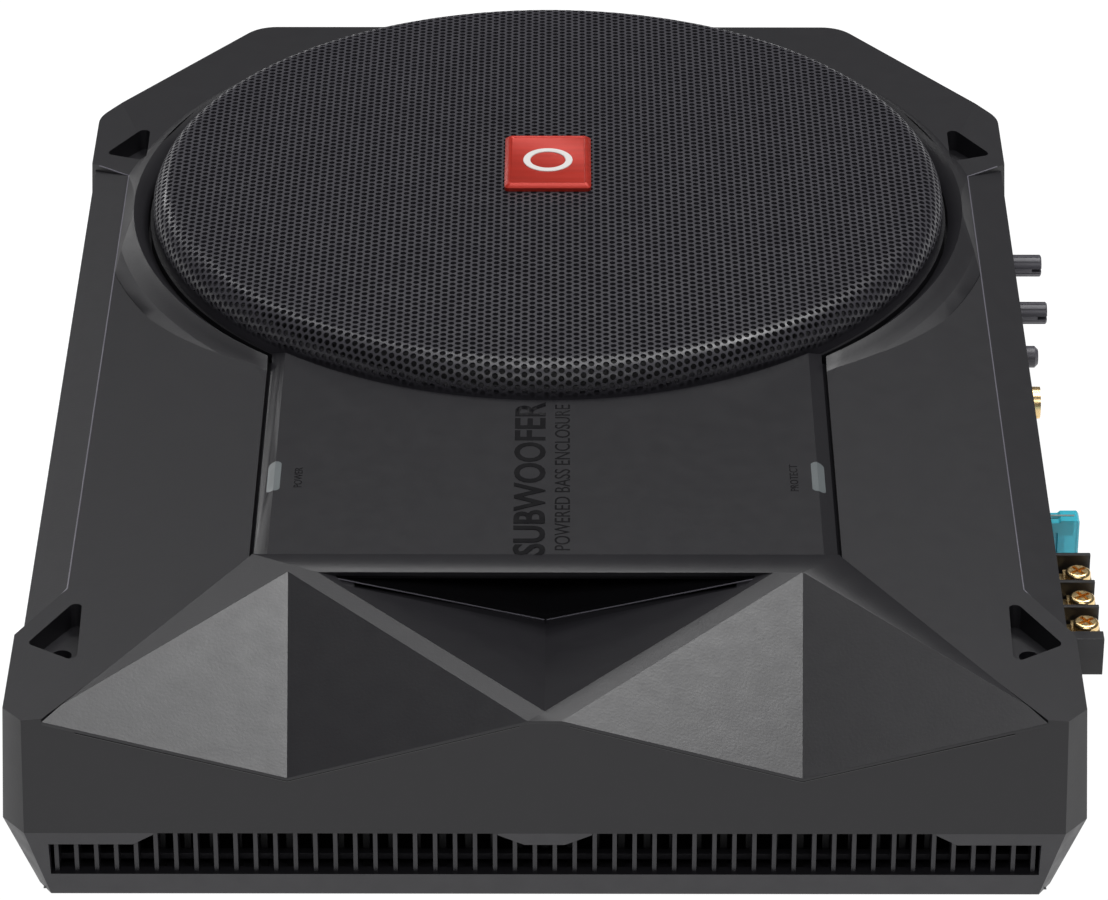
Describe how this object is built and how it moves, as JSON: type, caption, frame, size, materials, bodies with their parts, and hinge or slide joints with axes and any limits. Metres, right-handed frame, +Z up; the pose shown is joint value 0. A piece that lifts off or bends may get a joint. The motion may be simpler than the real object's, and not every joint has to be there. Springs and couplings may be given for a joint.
{
  "type": "powered car subwoofer",
  "caption": "Low-profile powered car subwoofer with a domed round grille, faceted vented front, side controls and screw terminals.",
  "frame": {"origin": "middle of the tray's flat underside", "axes": "+Z up, +Y from the vent slots to the grille end, +X to the side with the controls and terminals"},
  "size_m": [0.2609, 0.3514, 0.072],
  "materials": {
    "badge_red": "gloss",
    "basket_paint": "satin",
    "black_plastic": "matte",
    "black_screw": "satin",
    "board_green": "satin",
    "brass_pin": "polished",
    "capacitor_sleeve": "gloss",
    "cone_paper": "matte",
    "copper_coil": "satin",
    "cover_plastic": "satin",
    "ferrite": "matte",
    "foam": "matte",
    "foot_rubber": "matte",
    "fuse_blue": "gloss",
    "gold_plate": "polished",
    "grille_paint": "satin",
    "insert_red": "satin",
    "lens_blue": "satin",
    "nut_steel": "satin",
    "seal_foam": "matte",
    "shaft_plastic": "satin",
    "shell_plastic": "satin",
    "sink_aluminium": "satin",
    "spider_cloth": "matte",
    "surround_rubber": "satin",
    "toroid_winding": "satin",
    "tray_plastic": "matte",
    "zinc_steel": "brushed"
  },
  "bodies": {
    "enclosure": {"amp_board": "board_green", "auto_switch": "nut_steel", "badge_plate": "badge_red", "board_screws": "zinc_steel", "bottom_tray": "tray_plastic", "capacitors": "capacitor_sleeve", "case_screws": "black_screw", "center_cover": "cover_plastic", "control_panel": "tray_plastic", "damping_foam": "foam", "foot_pads": "foot_rubber", "fuse_holder": "black_plastic", "grille_frame": "black_plastic", "grille_mesh": "grille_paint", "heat_sink": "sink_aluminium", "io_board": "board_green", "io_spacers": "brass_pin", "led_lenses": "lens_blue", "magnet": "ferrite", "motor_yoke": "zinc_steel", "panel_screws": "black_screw", "phase_switch": "nut_steel", "port_duct": "black_plastic", "pot_nuts": "nut_steel", "pots": "nut_steel", "rca_barrels": "gold_plate", "rca_block": "black_plastic", "rca_inserts": "insert_red", "remote_jack": "black_plastic", "shell_gasket": "seal_foam", "speaker_in_pins": "brass_pin", "speaker_in_socket": "black_plastic", "spider": "spider_cloth", "surround": "surround_rubber", "terminal_block": "black_plastic", "terminal_plates": "gold_plate", "top_plate": "zinc_steel", "top_shell": "shell_plastic", "toroid": "toroid_winding", "transistors": "black_plastic", "vent_fins": "tray_plastic", "woofer_basket": "basket_paint", "woofer_gasket": "seal_foam", "woofer_screws": "black_screw"},
    "level_shaft": {"level_knob": "shaft_plastic"},
    "crossover_shaft": {"crossover_knob": "shaft_plastic"},
    "phase_push": {"phase_button": "shaft_plastic"},
    "auto_slide": {"auto_slider": "black_plastic"},
    "fuse": {"fuse_body": "fuse_blue", "fuse_blades": "zinc_steel"},
    "cone_assembly": {"woofer_cone": "cone_paper", "dust_cap": "cone_paper", "coil_former": "sink_aluminium", "voice_coil": "copper_coil"},
    "clamp_1": {"terminal_clamp_1": "gold_plate"},
    "clamp_2": {"terminal_clamp_2": "gold_plate"},
    "clamp_3": {"terminal_clamp_3": "gold_plate"},
    "screw_1": {"terminal_screw_1": "gold_plate"},
    "screw_2": {"terminal_screw_2": "gold_plate"},
    "screw_3": {"terminal_screw_3": "gold_plate"}
  },
  "joints": [
    {"name": "level_turn", "type": "hinge", "parent": "enclosure", "child": "level_shaft", "pos_m": [0.125, 0.076, 0.034], "axis": [1, 0, 0], "range_deg": [-150, 150]},
    {"name": "crossover_turn", "type": "hinge", "parent": "enclosure", "child": "crossover_shaft", "pos_m": [0.125, 0.0495, 0.034], "axis": [1, 0, 0], "range_deg": [-150, 150]},
    {"name": "phase_press", "type": "slide", "parent": "enclosure", "child": "phase_push", "axis": [-1, 0, 0], "range_m": [0, 0.0025], "stiffness_N_per_m": 350, "springref_m": -0.003},
    {"name": "auto_slide_y", "type": "slide", "parent": "enclosure", "child": "auto_slide", "axis": [0, 1, 0], "range_m": [-0.002, 0.002]},
    {"name": "fuse_pull", "type": "slide", "parent": "enclosure", "child": "fuse", "axis": [1, 0, 0], "range_m": [0, 0.014]},
    {"name": "cone_travel", "type": "slide", "parent": "enclosure", "child": "cone_assembly", "axis": [0, 0, 1], "range_m": [-0.005, 0.005], "stiffness_N_per_m": 2600, "deforming": ["surround", "spider"]},
    {"name": "terminal_1_lift", "type": "slide", "parent": "enclosure", "child": "clamp_1", "axis": [0, 0, 1], "range_m": [0, 0.002]},
    {"name": "terminal_1_turn", "type": "hinge", "parent": "clamp_1", "child": "screw_1", "pos_m": [0.1294, -0.0956, 0.042], "axis": [0, 0, 1], "range_deg": [0, 1080]},
    {"name": "terminal_2_lift", "type": "slide", "parent": "enclosure", "child": "clamp_2", "axis": [0, 0, 1], "range_m": [0, 0.002]},
    {"name": "terminal_2_turn", "type": "hinge", "parent": "clamp_2", "child": "screw_2", "pos_m": [0.1294, -0.1072, 0.042], "axis": [0, 0, 1], "range_deg": [0, 1080]},
    {"name": "terminal_3_lift", "type": "slide", "parent": "enclosure", "child": "clamp_3", "axis": [0, 0, 1], "range_m": [0, 0.002]},
    {"name": "terminal_3_turn", "type": "hinge", "parent": "clamp_3", "child": "screw_3", "pos_m": [0.1294, -0.1184, 0.042], "axis": [0, 0, 1], "range_deg": [0, 1080]}
  ],
  "couplings": [
    {"joint": "terminal_1_turn", "follows": "terminal_1_lift", "rad_per_m": 8975.9},
    {"joint": "terminal_2_turn", "follows": "terminal_2_lift", "rad_per_m": 8975.9},
    {"joint": "terminal_3_turn", "follows": "terminal_3_lift", "rad_per_m": 8975.9}
  ]
}
